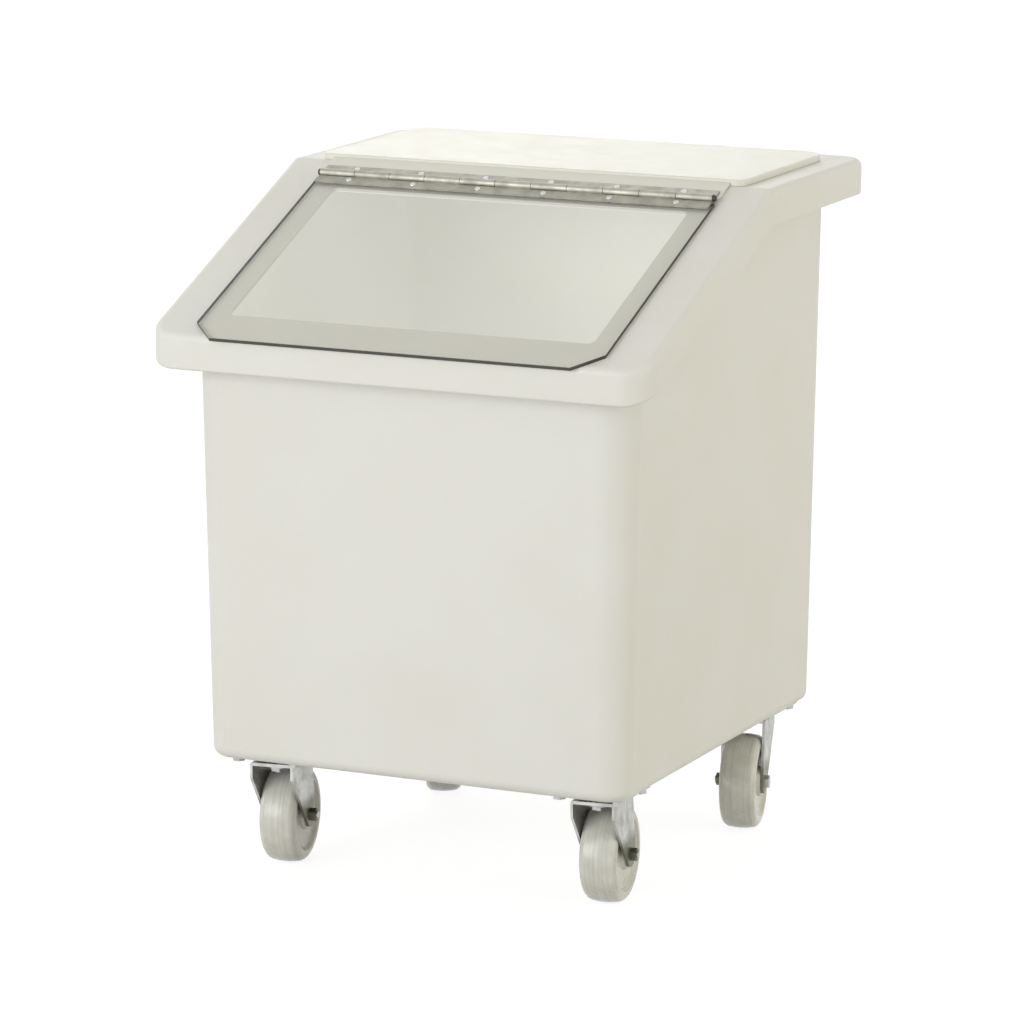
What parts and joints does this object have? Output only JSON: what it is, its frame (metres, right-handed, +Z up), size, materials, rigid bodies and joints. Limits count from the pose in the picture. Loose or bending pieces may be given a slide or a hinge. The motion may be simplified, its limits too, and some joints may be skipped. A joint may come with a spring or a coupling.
{
  "type": "wheeled ingredient bin",
  "caption": "Wheeled bin for dry ingredients: moulded tub with a stepped-out rim, sloping mouth under a clear hinged lid, lift-off rear cover and swivel castors.",
  "frame": {"origin": "on the floor, midway between the two sides and between the lid's front edge and the rim's back", "axes": "+X to the bin's right seen from its front, +Y from front to back, +Z up"},
  "size_m": [0.593, 0.6432, 0.7733],
  "materials": {
    "tub_plastic": "natural polyethylene, soft satin, lets some light through",
    "cover_plastic": "natural polyethylene, satin",
    "clear_sheet": "clear polycarbonate sheet, polished faces, darker edges",
    "hinge_aluminium": "satin",
    "rivet_aluminium": "satin",
    "rod_steel": "satin",
    "cap_plastic": "satin",
    "castor_steel": "zinc plated, satin",
    "zinc_steel": "zinc plated, satin",
    "dark_nut": "olive passivated, satin",
    "ball_steel": "polished",
    "wheel_nylon": "natural nylon, waxy",
    "insert_brass": "satin"
  },
  "bodies": {
    "tub_body": {"tub": "tub_plastic", "threaded_inserts": "insert_brass", "castor_bolts": "zinc_steel", "castor_washers": "zinc_steel", "kingpins": "zinc_steel", "kingpin_nuts": "zinc_steel", "lower_races": "zinc_steel", "front_left_castor_plate": "castor_steel", "front_right_castor_plate": "castor_steel", "rear_left_castor_plate": "castor_steel", "rear_right_castor_plate": "castor_steel"},
    "cover_body": {"rear_cover": "cover_plastic", "cover_hinge_leaf": "hinge_aluminium", "cover_rivets": "rivet_aluminium", "hinge_rod": "rod_steel", "hinge_rod_caps": "cap_plastic"},
    "lid_body": {"front_lid": "clear_sheet", "lid_hinge_leaf": "hinge_aluminium", "lid_rivets": "rivet_aluminium"},
    "front_left_swivel": {"front_left_fork": "castor_steel", "front_left_axle_sleeve": "zinc_steel", "front_left_axle_bolt": "zinc_steel", "front_left_axle_nut": "dark_nut", "front_left_upper_balls": "ball_steel", "front_left_lower_balls": "ball_steel"},
    "front_left_roller": {"front_left_wheel": "wheel_nylon"},
    "front_right_swivel": {"front_right_fork": "castor_steel", "front_right_axle_sleeve": "zinc_steel", "front_right_axle_bolt": "zinc_steel", "front_right_axle_nut": "dark_nut", "front_right_upper_balls": "ball_steel", "front_right_lower_balls": "ball_steel"},
    "front_right_roller": {"front_right_wheel": "wheel_nylon"},
    "rear_left_swivel": {"rear_left_fork": "castor_steel", "rear_left_axle_sleeve": "zinc_steel", "rear_left_axle_bolt": "zinc_steel", "rear_left_axle_nut": "dark_nut", "rear_left_upper_balls": "ball_steel", "rear_left_lower_balls": "ball_steel"},
    "rear_left_roller": {"rear_left_wheel": "wheel_nylon"},
    "rear_right_swivel": {"rear_right_fork": "castor_steel", "rear_right_axle_sleeve": "zinc_steel", "rear_right_axle_bolt": "zinc_steel", "rear_right_axle_nut": "dark_nut", "rear_right_upper_balls": "ball_steel", "rear_right_lower_balls": "ball_steel"},
    "rear_right_roller": {"rear_right_wheel": "wheel_nylon"}
  },
  "joints": [
    {"name": "cover_lift", "type": "slide", "parent": "tub_body", "child": "cover_body", "axis": [0, 0, 1], "range_m": [0, 0.15]},
    {"name": "lid_hinge", "type": "hinge", "parent": "cover_body", "child": "lid_body", "pos_m": [0, -0.00169, 0.75748], "axis": [-1, 0, 0], "range_deg": [0, 175]},
    {"name": "front_left_swivel_turn", "type": "hinge", "parent": "tub_body", "child": "front_left_swivel", "pos_m": [-0.196, -0.20144, 0.125], "axis": [0, 0, 1], "continuous": true},
    {"name": "front_left_wheel_roll", "type": "hinge", "parent": "front_left_swivel", "child": "front_left_roller", "pos_m": [-0.20195, -0.16391, 0.0545], "axis": [0.9877, 0.1564, 0], "continuous": true},
    {"name": "front_right_swivel_turn", "type": "hinge", "parent": "tub_body", "child": "front_right_swivel", "pos_m": [0.196, -0.20144, 0.125], "axis": [0, 0, 1], "continuous": true},
    {"name": "front_right_wheel_roll", "type": "hinge", "parent": "front_right_swivel", "child": "front_right_roller", "pos_m": [0.19137, -0.16372, 0.0545], "axis": [0.9925, 0.1219, 0], "continuous": true},
    {"name": "rear_left_swivel_turn", "type": "hinge", "parent": "tub_body", "child": "rear_left_swivel", "pos_m": [-0.196, 0.22156, 0.125], "axis": [0, 0, 1], "continuous": true},
    {"name": "rear_left_wheel_roll", "type": "hinge", "parent": "rear_left_swivel", "child": "rear_left_roller", "pos_m": [-0.17994, 0.18712, 0.0545], "axis": [-0.9063, -0.4226, 0], "continuous": true},
    {"name": "rear_right_swivel_turn", "type": "hinge", "parent": "tub_body", "child": "rear_right_swivel", "pos_m": [0.196, 0.22156, 0.125], "axis": [0, 0, 1], "continuous": true},
    {"name": "rear_right_wheel_roll", "type": "hinge", "parent": "rear_right_swivel", "child": "rear_right_roller", "pos_m": [0.20455, 0.18453, 0.0545], "axis": [-0.9744, -0.225, 0], "continuous": true}
  ]
}
